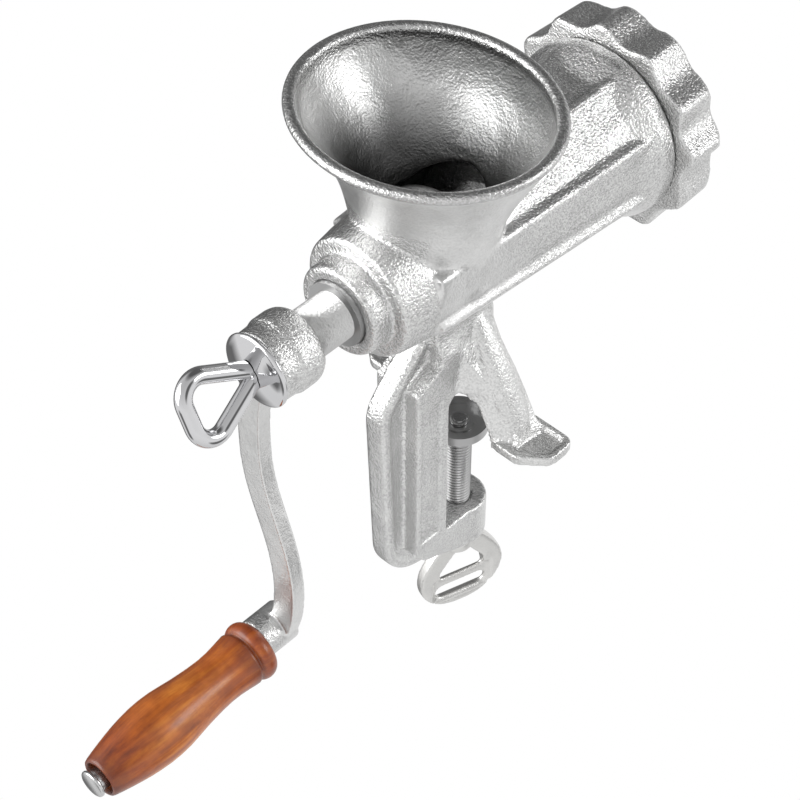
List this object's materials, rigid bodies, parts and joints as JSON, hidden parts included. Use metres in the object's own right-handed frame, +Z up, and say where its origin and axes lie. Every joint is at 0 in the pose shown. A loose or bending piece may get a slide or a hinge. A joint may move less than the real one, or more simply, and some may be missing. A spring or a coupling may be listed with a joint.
{
  "type": "meat grinder",
  "caption": "Hand crank meat grinder with an oval hopper, a ribbed horizontal barrel, a lobed ring nut, a table clamp with a screw and a wooden crank grip.",
  "frame": {"origin": "on the table's upper face under the two feet, on the axis of the clamp screw", "axes": "+Z up along the clamp screw, +Y along the barrel from the crank towards the ring nut, +X to the right when looking along +Y"},
  "size_m": [0.1128, 0.3175, 0.31],
  "materials": {
    "cast": "tinned, fine sandy grain",
    "cast_arm": "tinned, smooth satin",
    "cast_loop": "tinned, smooth satin",
    "steel": "turned, satin",
    "screw_steel": "zinc plated",
    "knife_steel": "ground",
    "chrome": "polished plating",
    "wood": "clear varnish, grain along the length"
  },
  "bodies": {
    "body": {"body_casting": "cast", "rear_bush": "steel", "plate_key": "steel"},
    "crank": {"feed_screw": "cast_arm", "thrust_washer": "steel", "knife_stud": "steel", "cross_knife": "knife_steel", "crank_arm": "cast_arm", "grip_spindle": "screw_steel"},
    "grip": {"wooden_grip": "wood", "grip_end_washer": "steel"},
    "cap": {"crank_cap": "chrome"},
    "crank_screw": {"crank_screw": "screw_steel", "crank_screw_loop": "chrome"},
    "plate": {"mincing_plate": "knife_steel"},
    "nut": {"ring_nut": "cast"},
    "pad": {"clamp_pad": "steel"},
    "clamp": {"clamp_screw": "screw_steel", "clamp_screw_loop": "cast_loop", "pad_washer": "steel"}
  },
  "joints": [
    {"name": "crank_turn", "type": "hinge", "parent": "body", "child": "crank", "pos_m": [0, -0.09, 0.103], "axis": [0, 1, 0], "continuous": true},
    {"name": "grip_turn", "type": "hinge", "parent": "crank", "child": "grip", "pos_m": [-0.0076, -0.1174, -0.067], "axis": [-0.019, 0.9998, 0.011], "continuous": true},
    {"name": "cap_travel", "type": "slide", "parent": "crank", "child": "cap", "axis": [0, -1, 0], "range_m": [0, 0.01]},
    {"name": "crank_screw_turn", "type": "hinge", "parent": "cap", "child": "crank_screw", "pos_m": [0, -0.115, 0.103], "axis": [0, -1, 0], "range_deg": [0, 2880]},
    {"name": "plate_travel", "type": "slide", "parent": "body", "child": "plate", "axis": [0, 1, 0], "range_m": [0, 0.012]},
    {"name": "ring_nut_turn", "type": "hinge", "parent": "plate", "child": "nut", "pos_m": [0, 0.094, 0.103], "axis": [0, 1, 0], "range_deg": [0, 1440]},
    {"name": "clamp_travel", "type": "slide", "parent": "body", "child": "pad", "axis": [0, 0, 1], "range_m": [-0.042, 0.00525]},
    {"name": "clamp_turn", "type": "hinge", "parent": "pad", "child": "clamp", "pos_m": [0, 0, -0.07], "axis": [0, 0, 1], "range_deg": [-8640, 1080]}
  ],
  "couplings": [
    {"joint": "crank_screw_turn", "follows": "cap_travel", "rad_per_m": 5026.5},
    {"joint": "ring_nut_turn", "follows": "plate_travel", "rad_per_m": 2094.4},
    {"joint": "clamp_turn", "follows": "clamp_travel", "rad_per_m": 3590.4}
  ]
}
